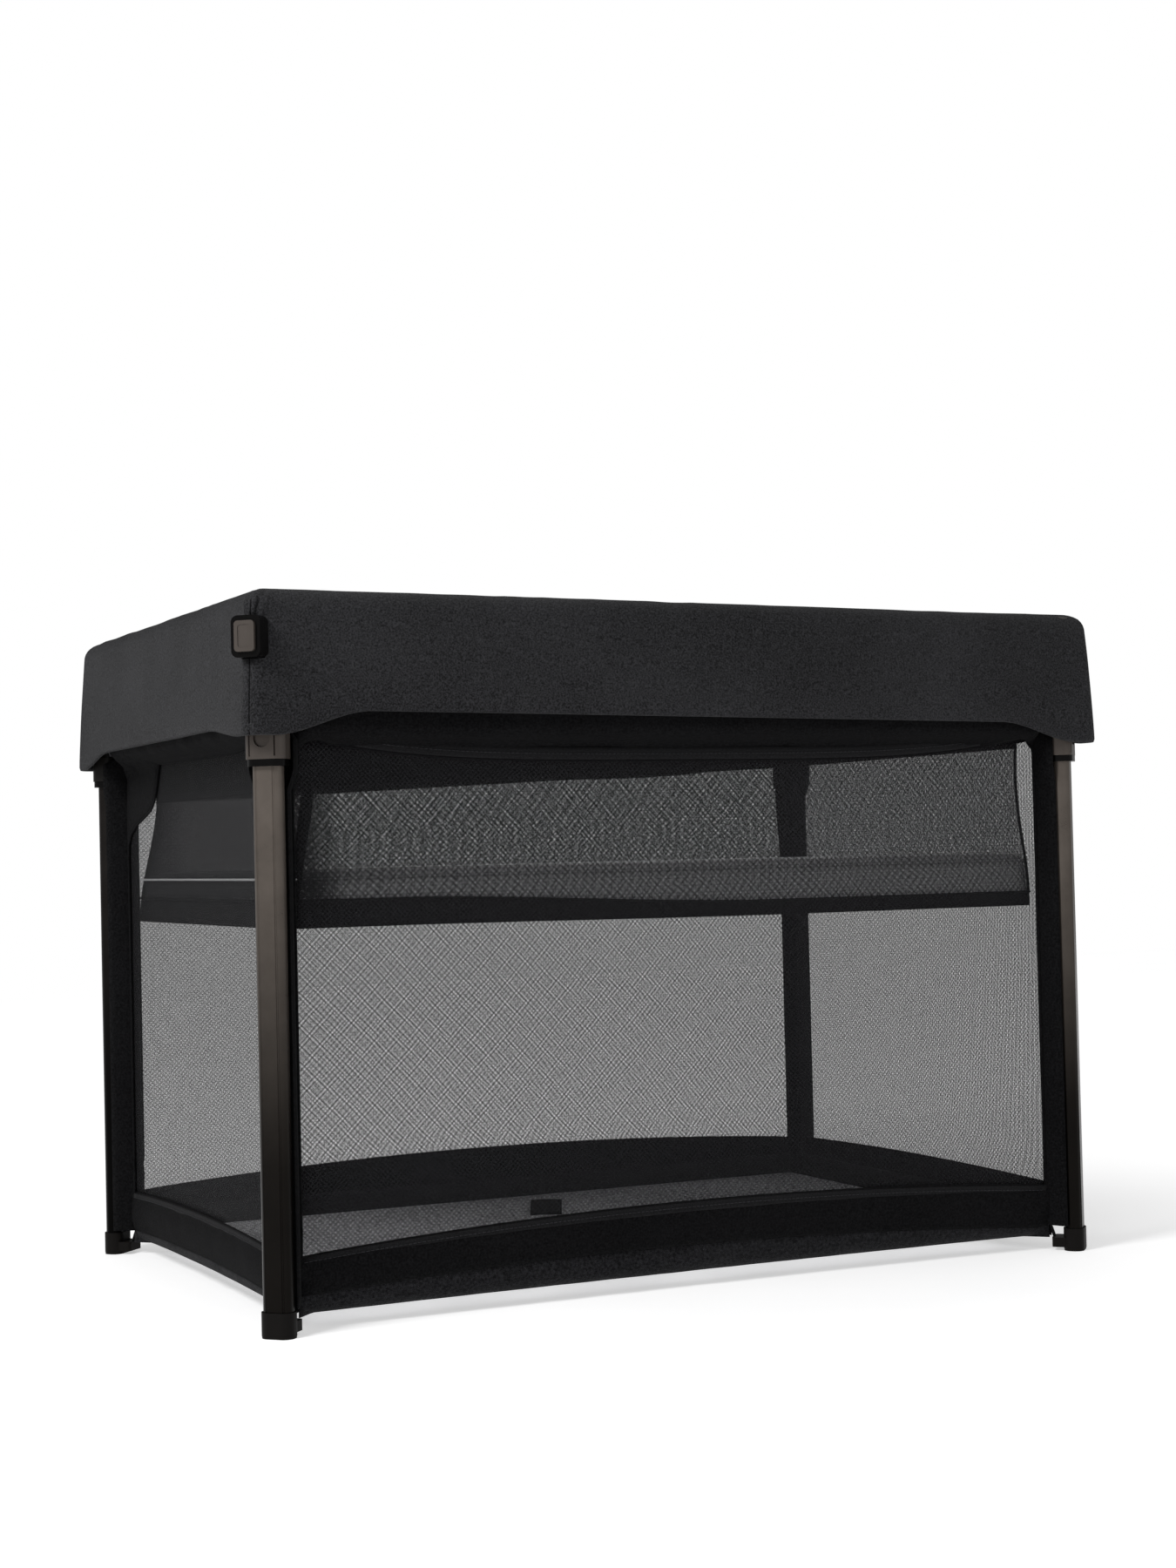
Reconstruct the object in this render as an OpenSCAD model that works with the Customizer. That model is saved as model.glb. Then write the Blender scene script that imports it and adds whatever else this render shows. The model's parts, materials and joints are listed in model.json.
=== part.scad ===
// Travel play yard: four legs joined by scissor frames under a fabric band,
// mesh walls, a folding floor and a bassinet insert with a folding mattress.
// Origin: centre of the footprint on the floor. +X along the long side, +Z up.

/* [Overall] */
// Length over the fabric band
yard_l = 1040; // [960:10:1160]
// Width over the fabric band
yard_w = 690; // [640:10:800]
// Height to the top of the band
yard_h = 750; // [720:5:820]

/* [Legs] */
// Distance from the band's outer face to a leg's centre
leg_inset = 33; // [31:1:36]
// Leg size along the corner diagonal
leg_depth = 20; // [19:1:24]
// Leg size across the corner diagonal
leg_width = 32; // [28:1:33]
// Leg tube wall
leg_wall = 1.8; // [1.2:0.2:2.4]
// Height of the foot's boot
foot_h = 26; // [20:1:34]

/* [Scissor frame] */
// Height of a bar
bar_w = 18; // [14:1:18]
// Thickness of a bar
bar_t = 6; // [4:0.5:6]
// Gap between the two bar planes
plane_gap = 2; // [1:0.5:2]
// Pivot height below the top of the band
pivot_drop = 38; // [34:1:42]
// Height between the upper and lower pivots when the yard stands open
scissor_h = 95; // [85:5:105]
// Distance from a leg's centre to the end pivots on the short sides
short_arm = 32; // [32:1:36]
// Pivot pin radius
pin_r = 3; // [2.5:0.5:3.5]
// Radial clearance of a pin in its bore
pin_clear = 0.08; // [0.05:0.01:0.1]

/* [Band] */
// Height of the fabric band at the corners
band_h = 148; // [140:2:150]
// Width of the band across the frame
band_depth = 58; // [58:1:62]
// Thickness of the padded fabric
skin = 3; // [2:0.5:3]
// Corner radius of the band
band_r = 18; // [16:1:22]

/* [Walls and floor] */
// Distance from the band's outer face to the mesh wall
wall_inset = 47; // [46:1:49]
// Thickness of a wall panel
wall_t = 2; // [1.5:0.5:2]
// Height of the walls' lower edge
wall_z = 32; // [30:1:40]
// Height of the floor's underside
floor_z = 16; // [12:1:18]
// Thickness of the floor boards in their cover
floor_t = 14; // [10:1:14]

/* [Bassinet] */
// Height of the bassinet's underside
bassinet_z = 403; // [380:1:420]
// Gap between the wall and the bassinet
bassinet_gap = 8; // [7:1:15]
// Mattress thickness
mattress_t = 38; // [25:1:40]
// Gap at each mattress hinge
mattress_gap = 2; // [2:0.5:4]
// Depth of the skirt below the bassinet's floor
skirt_h = 18; // [12:1:27]

/* [Floor strap] */
// Width of the pull strap
strap_w = 40; // [25:1:50]
// Length of the pull strap
strap_l = 130; // [80:5:140]
// Distance of the strap from the middle of the long sides
strap_x = 25; // [0:5:300]
// Distance of the strap's middle from the floor's fold line
strap_y = 165; // [120:5:200]
// Slant of the strap across the floor, in degrees
strap_slant = 25; // [0:5:30]

/* [Hidden] */
$fn = 64;
part_gap = 0.2;
slide_gap = 0.35;
button_gap = 0.4;
arm_r = 10;
head_r = 5.5;
head_t = 1.5;
head_play = 0.3;
open_clear = 0.3;
leg_r = 9;
groove_r = 1.2;
groove_out = 0;
sole_t = 2;
nub_reach = 15;
nub_w = 29;
nub_h = 11;
nub_z = 4;
nub_r = 4;
leg_x = yard_l / 2 - leg_inset;
leg_y = yard_w / 2 - leg_inset;
leg_top = yard_h - 15;
leg_bottom = 7;
// The same pivot spacing on both sides lets every bar turn through the same angle.
pitch = leg_y - short_arm;
long_arm = leg_x - 1.5 * pitch;
top_z = yard_h - pivot_drop;
low_z = top_z - scissor_h;
bar_len = sqrt(pitch * pitch + scissor_h * scissor_h);
bar_tilt = atan2(scissor_h, pitch);
v_in = plane_gap / 2;
band_z = yard_h - band_h;
sleeve_d = leg_depth + 7;
sleeve_w = leg_width + 7;
sleeve_r = 11;
sleeve_h = 18;
sleeve_up = 15;
cap_t = 5;
nose_w = 26;
nose_h = 34;
bracket_d = leg_depth + 9;
bracket_w = 44;
bracket_z = band_z - 24;
bracket_h = 29;
bracket_r = 11;
notch_w = 18;
notch_z = 21;
rib_y = 14;
rib_w = 1.6;
rib_margin = 3;
relief = 2.4;
collar_h = 7;
nose_x = 26;
bezel_w = 32;
bezel_h = 42;
bezel_x = 44.5;
lip_t = 3;
button_w = 22;
button_h = 31;
button_x = 48;
button_r = 4;
dish = 0.8;
dish_margin = 4;
stem_l = 8;
flange = 1.5;
flange_over = 2.6;
button_z = yard_h - 51;
bass_x = yard_l / 2 - wall_inset - bassinet_gap;
bass_y = yard_w / 2 - wall_inset - bassinet_gap;
bass_top = band_z - 7;
bass_r = 25;
bass_wall = 3;
bass_floor = 5;
mat_x = bass_x - bass_wall - 2;
mat_y = bass_y - bass_wall - 3;
mat_z = bassinet_z + skirt_h + bass_floor + part_gap;
panel_l = (2 * mat_x - 3 * mattress_gap) / 4;
floor_x = yard_l / 2 - wall_inset - 11;
floor_y = yard_w / 2 - wall_inset - 6;
strap_t = 2.5;
strap_r = 6;
slot_h = 14;
eps = 0.01;

// ---- shared shapes ----

module rounded_rect(w, h, r) {
    square([w - 2 * r, h], center = true);
    square([w, h - 2 * r], center = true);
    for (x = [-1, 1]) {
        for (y = [-1, 1]) {
            translate([x * (w / 2 - r), y * (h / 2 - r)]) circle(r);
        }
    }
}

// Local +X points out along the corner's diagonal.
module at_corner(ix, iy) {
    translate([ix * leg_x, iy * leg_y, 0]) rotate([0, 0, atan2(iy, ix)]) children();
}

// Local +X runs from the leg along a side towards the middle, local +Y points outwards.
module along_side(ix, iy, long) {
    translate([ix * leg_x, iy * leg_y, 0])
        mirror([ix > 0 ? 1 : 0, 0, 0])
            mirror([0, iy < 0 ? 1 : 0, 0])
                mirror([long ? 0 : 1, long ? 0 : 1, 0])
                    children();
}

module leg_hole(clear, z0, z1) {
    translate([0, 0, z0])
        linear_extrude(z1 - z0)
            rounded_rect(leg_depth + 2 * clear, leg_width + 2 * clear, leg_r + clear);
}

// A flat plate standing in a bar plane: outer planes have v > 0.
module in_plane(outer) {
    translate([0, outer ? v_in + bar_t : -v_in, 0]) rotate([90, 0, 0]) linear_extrude(bar_t) children();
}

// A riveted pin that starts in the outer plane and passes through the inner one.
module pin() {
    far = -v_in - bar_t - head_play;
    translate([0, v_in + bar_t + head_t, 0]) rotate([90, 0, 0]) cylinder(h = head_t, r = head_r);
    translate([0, v_in + bar_t, 0]) rotate([90, 0, 0]) cylinder(h = v_in + bar_t - far + head_t, r = pin_r);
    translate([0, far, 0]) rotate([90, 0, 0]) cylinder(h = head_t, r = head_r);
}

module bore(clear) {
    rotate([90, 0, 0]) cylinder(h = 4 * bar_t, r = pin_r + clear, center = true);
}

// An arm from a leg to its end pivot. Outer arms carry the pin, inner arms the bore.
module arm(ix, iy, long, outer, z, clear) {
    reach = long ? long_arm : short_arm;
    along_side(ix, iy, long) {
        if (outer) {
            translate([0, 0, z]) in_plane(true) {
                translate([0, -arm_r]) square([reach, 2 * arm_r]);
                translate([reach, 0]) circle(arm_r);
            }
            translate([reach, 0, z]) pin();
        } else {
            difference() {
                translate([0, 0, z]) in_plane(false) {
                    translate([0, -arm_r]) square([reach, 2 * arm_r]);
                    translate([reach, 0]) circle(arm_r);
                }
                translate([reach, 0, z]) bore(clear);
            }
        }
    }
}

// ---- legs ----

module leg(ix, iy) {
    color("#6f6861") at_corner(ix, iy) difference() {
        translate([0, 0, leg_bottom]) linear_extrude(leg_top - leg_bottom) difference() {
            rounded_rect(leg_depth, leg_width, leg_r);
            rounded_rect(leg_depth - 2 * leg_wall, leg_width - 2 * leg_wall, leg_r - leg_wall);
            for (y = [-1, 1]) {
                translate([leg_depth / 2 + groove_out, y * leg_width * 0.3]) circle(groove_r);
            }
        }
    }
}

module foot(ix, iy) {
    color("#1b1b1c") at_corner(ix, iy) difference() {
        union() {
            linear_extrude(sole_t) rounded_rect(leg_depth + 3, leg_width + 3, leg_r + 1);
            translate([0, 0, sole_t]) linear_extrude(foot_h - sole_t)
                rounded_rect(leg_depth + 4, leg_width + 4, leg_r + 2);
            translate([-leg_depth / 4 - nub_reach / 2, 0, nub_z]) linear_extrude(nub_h)
                rounded_rect(leg_depth / 2 + nub_reach, nub_w, nub_r);
        }
        leg_hole(part_gap, leg_bottom, foot_h + 1);
    }
}

// The housing closes the leg's top; a corner with a button has a nose behind it.
module housing(ix, iy, long_outer, short_outer, nose, clear) {
    color("#5d5751") difference() {
        union() {
            at_corner(ix, iy) {
                translate([0, 0, top_z - sleeve_h]) linear_extrude(leg_top + cap_t - top_z + sleeve_h)
                    rounded_rect(sleeve_d, sleeve_w, sleeve_r);
                if (nose) {
                    translate([0, -nose_w / 2, button_z - nose_h / 2]) cube([nose_x, nose_w, nose_h]);
                }
            }
            arm(ix, iy, true, long_outer, top_z, clear);
            arm(ix, iy, false, short_outer, top_z, clear);
        }
        at_corner(ix, iy) leg_hole(part_gap, button_z - nose_h, leg_top);
    }
}

// The slider runs on the leg and carries the lower end pivots.
module slider(ix, iy, long_outer, short_outer, long_clear, short_clear) {
    color("#7b746c") difference() {
        union() {
            at_corner(ix, iy) {
                translate([0, 0, bracket_z]) linear_extrude(bracket_h)
                    rounded_rect(bracket_d, bracket_w, bracket_r);
                translate([0, 0, bracket_z]) linear_extrude(low_z + sleeve_up - bracket_z)
                    rounded_rect(sleeve_d, sleeve_w, sleeve_r);
            }
            arm(ix, iy, true, long_outer, low_z, long_clear);
            arm(ix, iy, false, short_outer, low_z, short_clear);
        }
        at_corner(ix, iy) {
            leg_hole(slide_gap, bracket_z - 1, low_z + sleeve_up + 1);
            translate([bracket_d / 2 - relief, -notch_w / 2, bracket_z + notch_z])
                cube([bracket_d, notch_w, bracket_h]);
            translate([bracket_d / 2 - relief, 0, bracket_z + notch_z]) rotate([0, 90, 0])
                cylinder(h = bracket_d, r = notch_w / 2);
            for (y = [-1, 1]) {
                translate([bracket_d / 2 - relief, y * rib_y - rib_w / 2, bracket_z + rib_margin])
                    cube([bracket_d, rib_w, bracket_h - 2 * rib_margin]);
            }
        }
    }
}

module collar(ix, iy) {
    color("#1b1b1c") at_corner(ix, iy) difference() {
        translate([0, 0, bracket_z - collar_h - part_gap])
            linear_extrude(collar_h)
                rounded_rect(sleeve_d + 2, sleeve_w + 2, sleeve_r + 1);
        leg_hole(slide_gap, bracket_z - collar_h - 1, bracket_z + 1);
    }
}

// ---- scissor bars ----

// Local +X runs along the side from its first end pivot, local +Y points outwards.
module on_side(side) {
    if (side == "front") {
        translate([-1.5 * pitch, -leg_y, 0]) mirror([0, 1, 0]) children();
    }
    if (side == "rear") {
        translate([-1.5 * pitch, leg_y, 0]) children();
    }
    if (side == "left") {
        translate([-leg_x, -pitch, 0]) rotate([0, 0, 90]) children();
    }
    if (side == "right") {
        translate([leg_x, -pitch, 0]) rotate([0, 0, 90]) mirror([0, 1, 0]) children();
    }
}

module stadium() {
    translate([0, -bar_w / 2]) square([bar_len, bar_w]);
    circle(bar_w / 2);
    translate([bar_len, 0]) circle(bar_w / 2);
}

// Outer bars run down from their first end and carry the pins.
module bar_a(side, i) {
    color("#4a4a4c") on_side(side) translate([(i - 1) * pitch, 0, top_z]) rotate([0, bar_tilt, 0]) {
        in_plane(true) stadium();
        for (x = [0, bar_len / 2, bar_len]) {
            translate([x, 0, 0]) pin();
        }
    }
}

// Inner bars run up from their first end and turn on the pins.
module bar_b(side, i, first_clear, last_clear) {
    color("#55555a") on_side(side) translate([(i - 1) * pitch, 0, low_z]) rotate([0, -bar_tilt, 0])
        difference() {
            in_plane(false) stadium();
            bore(first_clear);
            translate([bar_len / 2, 0, 0]) bore(pin_clear);
            translate([bar_len, 0, 0]) bore(last_clear);
        }
}

// ---- corner buttons ----

module bezel(ix, iy) {
    depth = bezel_x - nose_x - part_gap;
    color("#151516") at_corner(ix, iy) translate([nose_x + part_gap, 0, button_z]) rotate([0, 90, 0])
        difference() {
            linear_extrude(depth) rounded_rect(bezel_h, bezel_w, 7);
            translate([0, 0, -1]) linear_extrude(depth - lip_t + 1)
                rounded_rect(button_h + 4, button_w + 4, button_r + 1);
            linear_extrude(depth + 1)
                rounded_rect(button_h + 2 * button_gap, button_w + 2 * button_gap, button_r + button_gap);
        }
}

module button(ix, iy) {
    face = bezel_x - lip_t - button_gap;
    color("#8a8278") at_corner(ix, iy) translate([face, 0, button_z]) rotate([0, 90, 0]) difference() {
        union() {
            linear_extrude(button_x - face) rounded_rect(button_h, button_w, button_r);
            translate([0, 0, -flange]) linear_extrude(flange)
                rounded_rect(button_h + flange_over, button_w + flange_over, button_r + 1);
            translate([0, 0, -stem_l]) cylinder(h = stem_l, r = button_r);
        }
        translate([0, 0, button_x - face - dish]) linear_extrude(dish + 1)
            rounded_rect(button_h - 2 * dish_margin, button_w - 2 * dish_margin, button_r - 1);
    }
}

// ---- fabric band, walls and floor ----

module side_wedge(side) {
    long = side == "front" || side == "rear";
    sgn = side == "front" || side == "left" ? -1 : 1;
    half = long ? yard_w / 2 : yard_l / 2;
    far = long ? yard_l / 2 : yard_w / 2;
    over = 20;
    reach = band_depth + 40;
    outline = [
        [far + over - part_gap, half + over],
        [far - reach - part_gap, half - reach],
        [-far + reach + part_gap, half - reach],
        [-far - over + part_gap, half + over]
    ];
    points = [for (p = outline) long ? [p[0], sgn * p[1]] : [sgn * p[1], p[0]]];
    linear_extrude(yard_h + 10) polygon(points);
}

module ring(out, inn, z0, z1) {
    translate([0, 0, z0]) linear_extrude(z1 - z0) difference() {
        rounded_rect(yard_l - 2 * out, yard_w - 2 * out, band_r - out * 0.2);
        rounded_rect(yard_l - 2 * inn, yard_w - 2 * inn, max(band_r - inn * 0.2, 4));
    }
}

module band(side) {
    color("#3c3d42") difference() {
        intersection() {
            union() {
                ring(0, skin, band_z, yard_h);
                ring(skin - eps, band_depth - skin + eps, yard_h - skin, yard_h);
                ring(band_depth - skin, band_depth, band_z, yard_h);
            }
            side_wedge(side);
        }
        for (s = [-1, 1]) {
            at_corner(s, s) translate([20, -bezel_w / 2 - 1.5, button_z - bezel_h / 2 - 1.5])
                cube([40, bezel_w + 3, bezel_h + 3]);
        }
    }
}

module wall(side) {
    long = side == "front" || side == "rear";
    sgn = side == "front" || side == "left" ? -1 : 1;
    half = (long ? yard_l / 2 : yard_w / 2) - wall_inset - 13;
    pos = (long ? yard_w / 2 : yard_l / 2) - wall_inset - wall_t / 2;
    size = [2 * half, wall_t, band_z - 2 - wall_z];
    mid = (band_z - 2 + wall_z) / 2;
    color("#7d7f84") translate(long ? [0, sgn * pos, mid] : [sgn * pos, 0, mid])
        rotate([0, 0, long ? 0 : 90]) cube(size, center = true);
}

module floor_half(sgn) {
    color("#8c8f96") intersection() {
        translate([0, 0, floor_z]) linear_extrude(floor_t) rounded_rect(2 * floor_x, 2 * floor_y, 20);
        translate([-yard_l / 2, sgn > 0 ? 0.5 : -yard_w / 2, 0]) cube([yard_l, yard_w / 2 - 0.5, 100]);
    }
}

module floor_strap() {
    color("#17171a") translate([strap_x, strap_y, floor_z + floor_t + part_gap])
        rotate([0, 0, -strap_slant]) linear_extrude(strap_t) difference() {
            rounded_rect(strap_w, strap_l, strap_r);
            translate([0, -strap_l / 4]) rounded_rect(strap_w - slot_h, slot_h, strap_r / 2);
        }
}

// ---- bassinet and mattress ----

module bassinet() {
    color("#46484d") union() {
        translate([0, 0, bassinet_z]) linear_extrude(bass_top - bassinet_z) difference() {
            rounded_rect(2 * bass_x, 2 * bass_y, bass_r);
            rounded_rect(2 * (bass_x - bass_wall), 2 * (bass_y - bass_wall), bass_r - bass_wall);
        }
        translate([0, 0, bassinet_z + skirt_h]) linear_extrude(bass_floor)
            rounded_rect(2 * bass_x - bass_wall, 2 * bass_y - bass_wall, bass_r - bass_wall / 2);
    }
}

module mattress(i) {
    x0 = -mat_x + (i - 1) * (panel_l + mattress_gap);
    color("#9b9ea6") translate([0, 0, mat_z]) linear_extrude(mattress_t) intersection() {
        rounded_rect(2 * mat_x, 2 * mat_y, 20);
        translate([x0, -mat_y]) square([panel_l, 2 * mat_y]);
    }
}

leg(-1, -1);  // leg_fl
leg(1, -1);  // leg_fr
leg(-1, 1);  // leg_rl
leg(1, 1);  // leg_rr
foot(-1, -1);  // foot_fl
foot(1, -1);  // foot_fr
foot(-1, 1);  // foot_rl
foot(1, 1);  // foot_rr
housing(-1, -1, false, false, true, pin_clear);  // housing_fl
housing(1, -1, true, false, false, pin_clear);  // housing_fr
housing(-1, 1, false, true, false, pin_clear);  // housing_rl
housing(1, 1, true, true, true, pin_clear);  // housing_rr
slider(-1, -1, true, true, pin_clear, pin_clear);  // slider_fl
slider(1, -1, false, true, pin_clear, pin_clear);  // slider_fr
slider(-1, 1, true, false, pin_clear, pin_clear);  // slider_rl
slider(1, 1, false, false, open_clear, pin_clear);  // slider_rr
collar(-1, -1);  // collar_fl
collar(1, -1);  // collar_fr
collar(-1, 1);  // collar_rl
collar(1, 1);  // collar_rr
bar_a("front", 1);  // front_bar_a1
bar_a("front", 2);  // front_bar_a2
bar_a("front", 3);  // front_bar_a3
bar_b("front", 1, pin_clear, pin_clear);  // front_bar_b1
bar_b("front", 2, pin_clear, pin_clear);  // front_bar_b2
bar_b("front", 3, pin_clear, pin_clear);  // front_bar_b3
bar_a("rear", 1);  // rear_bar_a1
bar_a("rear", 2);  // rear_bar_a2
bar_a("rear", 3);  // rear_bar_a3
bar_b("rear", 1, open_clear, pin_clear);  // rear_bar_b1
bar_b("rear", 2, pin_clear, pin_clear);  // rear_bar_b2
bar_b("rear", 3, pin_clear, open_clear);  // rear_bar_b3
bar_a("left", 1);  // left_bar_a1
bar_a("left", 2);  // left_bar_a2
bar_b("left", 1, open_clear, pin_clear);  // left_bar_b1
bar_b("left", 2, pin_clear, pin_clear);  // left_bar_b2
bar_a("right", 1);  // right_bar_a1
bar_a("right", 2);  // right_bar_a2
bar_b("right", 1, open_clear, pin_clear);  // right_bar_b1
bar_b("right", 2, pin_clear, pin_clear);  // right_bar_b2
bezel(-1, -1);  // bezel_fl
bezel(1, 1);  // bezel_rr
button(-1, -1);  // button_fl
button(1, 1);  // button_rr
band("front");  // band_front
band("rear");  // band_rear
band("left");  // band_left
band("right");  // band_right
wall("front");  // wall_front
wall("rear");  // wall_rear
wall("left");  // wall_left
wall("right");  // wall_right
floor_half(-1);  // floor_front
floor_half(1);  // floor_rear
floor_strap();
bassinet();
mattress(1);  // mattress_1
mattress(2);  // mattress_2
mattress(3);  // mattress_3
mattress(4);  // mattress_4
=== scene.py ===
import json
import math

import bmesh
import bpy
import numpy as np
from mathutils import Matrix, Vector, noise


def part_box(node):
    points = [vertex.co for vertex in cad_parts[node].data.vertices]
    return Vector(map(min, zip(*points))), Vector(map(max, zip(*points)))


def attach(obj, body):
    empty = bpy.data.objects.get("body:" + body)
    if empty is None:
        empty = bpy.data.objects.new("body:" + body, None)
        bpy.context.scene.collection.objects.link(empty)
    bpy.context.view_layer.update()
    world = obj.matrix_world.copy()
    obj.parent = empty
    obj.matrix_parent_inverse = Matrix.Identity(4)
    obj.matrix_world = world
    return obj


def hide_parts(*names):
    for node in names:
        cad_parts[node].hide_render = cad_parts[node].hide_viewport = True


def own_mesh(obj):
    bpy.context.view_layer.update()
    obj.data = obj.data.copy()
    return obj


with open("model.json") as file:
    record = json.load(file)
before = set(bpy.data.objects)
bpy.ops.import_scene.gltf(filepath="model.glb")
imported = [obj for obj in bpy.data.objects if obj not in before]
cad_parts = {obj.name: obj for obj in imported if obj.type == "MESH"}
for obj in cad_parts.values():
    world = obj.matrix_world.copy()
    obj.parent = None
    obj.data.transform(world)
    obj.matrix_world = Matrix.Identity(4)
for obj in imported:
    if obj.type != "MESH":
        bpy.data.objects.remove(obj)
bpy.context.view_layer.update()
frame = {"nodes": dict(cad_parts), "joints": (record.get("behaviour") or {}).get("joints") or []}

# ---------------- driving sizes, from the frame
MM = 0.001
joints = {j["name"]: j for j in frame["joints"]}


def centre(node):
    lo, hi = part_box(node)
    return (Vector(lo) + Vector(hi)) / 2


band_lo, band_hi = (Vector(v) for v in (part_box("band_front")[0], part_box("band_rear")[1]))
half_w = band_hi.y
half_l = Vector(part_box("band_right")[1]).x
top_z = band_hi.z
band_z = band_lo.z
wall_lo, wall_hi = (Vector(v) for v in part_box("wall_front"))
wall_o = half_w + (wall_lo.y + wall_hi.y) / 2
wall_z0 = wall_lo.z
bass_lo, bass_hi = (Vector(v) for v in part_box("bassinet"))
mat_lo, mat_hi = Vector(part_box("mattress_1")[0]), Vector(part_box("mattress_4")[1])

# How far each side shortens when the scissors close: three bars' pitch on a long side, two on a short one
fold_deg = joints["fold"]["range_deg"][1]
upper, lower = Vector(joints["fold"]["pos_m"]), Vector(joints["front_bar_b2_turn"]["pos_m"])
pitch, drop = lower.x - upper.x, upper.z - lower.z
folded_pitch = math.hypot(pitch, drop) * math.cos(math.atan2(drop, pitch) + math.radians(fold_deg))
SHORTEN = {"front": 3 * (pitch - folded_pitch), "left": 2 * (pitch - folded_pitch)}
SHORTEN["rear"], SHORTEN["right"] = SHORTEN["front"], SHORTEN["left"]

# Each side starts at its own leg, runs along u and faces n; the four sides are one pattern turned.
SIDES = {
    "front": ("leg_fl", Vector((1, 0, 0)), Vector((0, -1, 0))),
    "right": ("leg_fr", Vector((0, 1, 0)), Vector((1, 0, 0))),
    "rear": ("leg_rr", Vector((-1, 0, 0)), Vector((0, 1, 0))),
    "left": ("leg_rl", Vector((0, -1, 0)), Vector((-1, 0, 0))),
}
HALF = {"front": half_l, "rear": half_l, "left": half_w, "right": half_w}
DEPTH = {"front": half_w, "rear": half_w, "left": half_l, "right": half_l}


def place(side, s, o, z):
    """The point at s along a side, o inwards from the band's outer face and z up."""
    _, u, n = SIDES[side]
    p = u * s + n * (DEPTH[side] - o)
    return (p.x, p.y, z)


def smooth(a, b, x):
    t = min(max((x - a) / (b - a), 0.0), 1.0)
    return t * t * (3 - 2 * t)


def ripple(p, size, seed):
    """Soft noise from -1 to 1 for cloth that isn't quite even."""
    return noise.noise(Vector((p[0] / size + seed, p[1] / size - seed, p[2] / size)))


# ---------------- materials
class Graph:
    """A node tree, with short calls for the few kinds of node used here."""

    def __init__(self, tree):
        self.nodes, self.links = tree.nodes, tree.links

    def feed(self, node, inputs):
        """Gives each input its fixed value, or wires it to another node's socket."""
        for key, value in inputs.items():
            if isinstance(value, bpy.types.NodeSocket):
                self.links.new(value, node.inputs[key])
            else:
                node.inputs[key].default_value = value

    def add(self, kind, inputs=None, **settings):
        node = self.nodes.new(kind)
        for key, value in settings.items():
            setattr(node, key, value)
        self.feed(node, inputs or {})
        return node

    def coords(self):
        return self.add("ShaderNodeTexCoord").outputs["Object"]

    def xyz(self):
        return self.add("ShaderNodeSeparateXYZ", {0: self.coords()}).outputs

    def noise(self, scale, detail=2.0, rough=0.5):
        inputs = {"Vector": self.coords(), "Scale": scale, "Detail": detail, "Roughness": rough}
        return self.add("ShaderNodeTexNoise", inputs).outputs["Fac"]

    def math(self, op, a, b=0.0, clamp=False):
        return self.add("ShaderNodeMath", {0: a, 1: b}, operation=op, use_clamp=clamp).outputs[0]

    def blend(self, a, share_a, b, share_b):
        return self.math("ADD", self.math("MULTIPLY", a, share_a), self.math("MULTIPLY", b, share_b))

    def map_range(self, value, low, high, to_low=0.0, to_high=1.0, ease="LINEAR"):
        inputs = {"Value": value, "From Min": low, "From Max": high, "To Min": to_low, "To Max": to_high}
        return self.add("ShaderNodeMapRange", inputs, interpolation_type=ease).outputs[0]

    def ramp(self, fac, *stops):
        """A colour ramp between two stops, each a position and a colour."""
        node = self.add("ShaderNodeValToRGB", {0: fac})
        for element, (position, colour) in zip(node.color_ramp.elements, stops):
            element.position, element.color = position, (*colour, 1)
        return node.outputs[0]

    def bump(self, height, distance, strength):
        inputs = {"Height": height, "Distance": distance, "Strength": strength}
        return self.add("ShaderNodeBump", inputs).outputs[0]


def material(name):
    m = bpy.data.materials.new(name)
    m.use_nodes = True
    g = Graph(m.node_tree)
    g.nodes.clear()
    shader = g.add("ShaderNodeBsdfPrincipled")
    g.add("ShaderNodeOutputMaterial", {0: shader.outputs[0]})
    return m, g, shader


def shades(colour, *factors):
    return [tuple(c * k for c in colour) for k in factors]


def weave_height(g, per_metre, slant):
    """Warp and weft as two crossed waves that follow the surface on any upright side."""
    x, y, up = g.xyz()
    along = g.math("ADD", x, y)
    a = g.math("ADD", along, g.math("MULTIPLY", up, slant))
    b = g.math("SUBTRACT", up, g.math("MULTIPLY", along, slant))
    waves = [g.math("SINE", g.math("MULTIPLY", v, 2 * math.pi * per_metre)) for v in (a, b)]
    return g.math("MULTIPLY", *waves)


def fabric(name, dark, light, fleck, weave, slant, rough, sheen, depth=0.00025):
    """A woven cloth: flecks of two yarns, slow shade changes and a fine weave."""
    m, g, shader = material(name)
    flecks, patches = g.noise(fleck, 3.0, 0.65), g.noise(7.0)
    height = g.blend(weave_height(g, weave, slant), 0.5, flecks, 0.8)
    g.feed(shader, {
        "Base Color": g.ramp(g.blend(flecks, 0.85, patches, 0.15), (0.36, dark), (0.66, light)),
        "Roughness": rough, "Specular IOR Level": 0.03, "Sheen Weight": sheen, "Sheen Roughness": 0.6,
        "Normal": g.bump(height, depth, 0.7)})
    return m


THREAD_RISE = 0.85      # slope of the net's threads
THREAD_STRETCH = 1.31   # distance between threads along a side, for one across them
MEAN_WAVE = 0.0625      # mean of two crossed waves from 0 to 0.5
DENSE_FROM, DENSE_TO = -0.40, -0.435    # x where the bassinet's left end begins


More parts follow.
